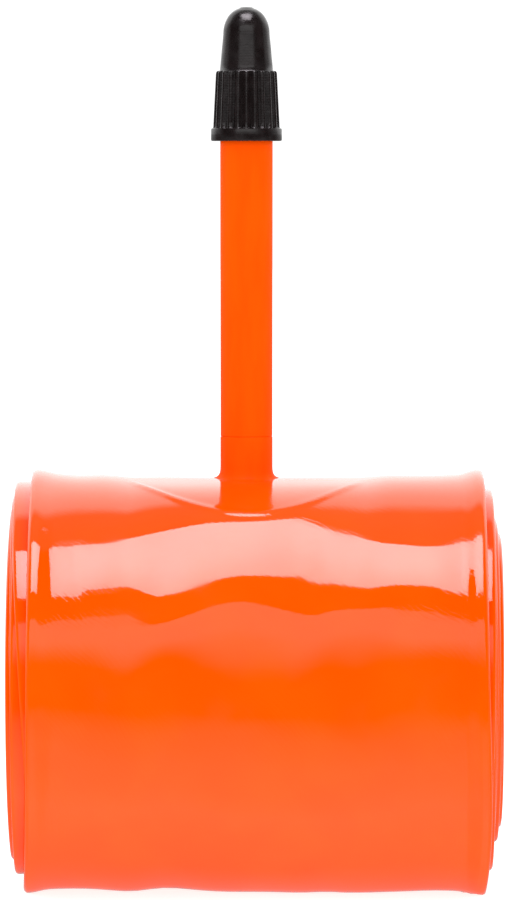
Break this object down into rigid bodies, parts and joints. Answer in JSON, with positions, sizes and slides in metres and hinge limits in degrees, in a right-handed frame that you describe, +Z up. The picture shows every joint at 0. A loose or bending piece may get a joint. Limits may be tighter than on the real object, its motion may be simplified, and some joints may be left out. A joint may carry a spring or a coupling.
{
  "type": "bicycle inner tube",
  "caption": "Bicycle inner tube in thin orange plastic, pressed flat and rolled up, with a slender plunger valve standing from the roll and a ribbed dust cap.",
  "frame": {"origin": "on the pressed-flat underside that the roll rests on, straight below the valve stem's axis", "axes": "+Z up along the valve stem; +X along the roll's axis, towards the end whose inner windings stand out furthest; +Y away from the front"},
  "size_m": [0.0575, 0.0478, 0.1025],
  "materials": {
    "orange_film": "glossy flexible polyurethane film",
    "orange_moulding": "satin moulded polyurethane",
    "brass": "turned",
    "nickel_plate": "nickel plated",
    "white_plastic": "matt fluoropolymer",
    "black_rubber": "matt",
    "black_plastic": "fine matt moulded plastic"
  },
  "bodies": {
    "tube": {"air_tube": "orange_film", "valve_base": "orange_moulding", "valve_stem": "orange_moulding", "core_bush": "brass"},
    "core": {"core_body": "nickel_plate", "core_gasket": "white_plastic"},
    "pin": {"core_pin": "nickel_plate", "pin_seal": "black_rubber"},
    "nut": {"lock_nut": "nickel_plate"},
    "cap": {"dust_cap": "black_plastic"}
  },
  "joints": [
    {"name": "core_lift", "type": "slide", "parent": "tube", "child": "core", "axis": [0, 0, 1], "range_m": [0, 0.016]},
    {"name": "pin_press", "type": "slide", "parent": "core", "child": "pin", "axis": [0, 0, -1], "range_m": [0, 0.0011]},
    {"name": "nut_lift", "type": "slide", "parent": "pin", "child": "nut", "axis": [0, 0, 1], "range_m": [0, 0.0022]},
    {"name": "cap_lift", "type": "slide", "parent": "core", "child": "cap", "axis": [0, 0, 1], "range_m": [0, 0.016]}
  ],
  "couplings": [
    {"joint": "pin_press", "follows": "nut_lift", "ratio": 0.5}
  ]
}
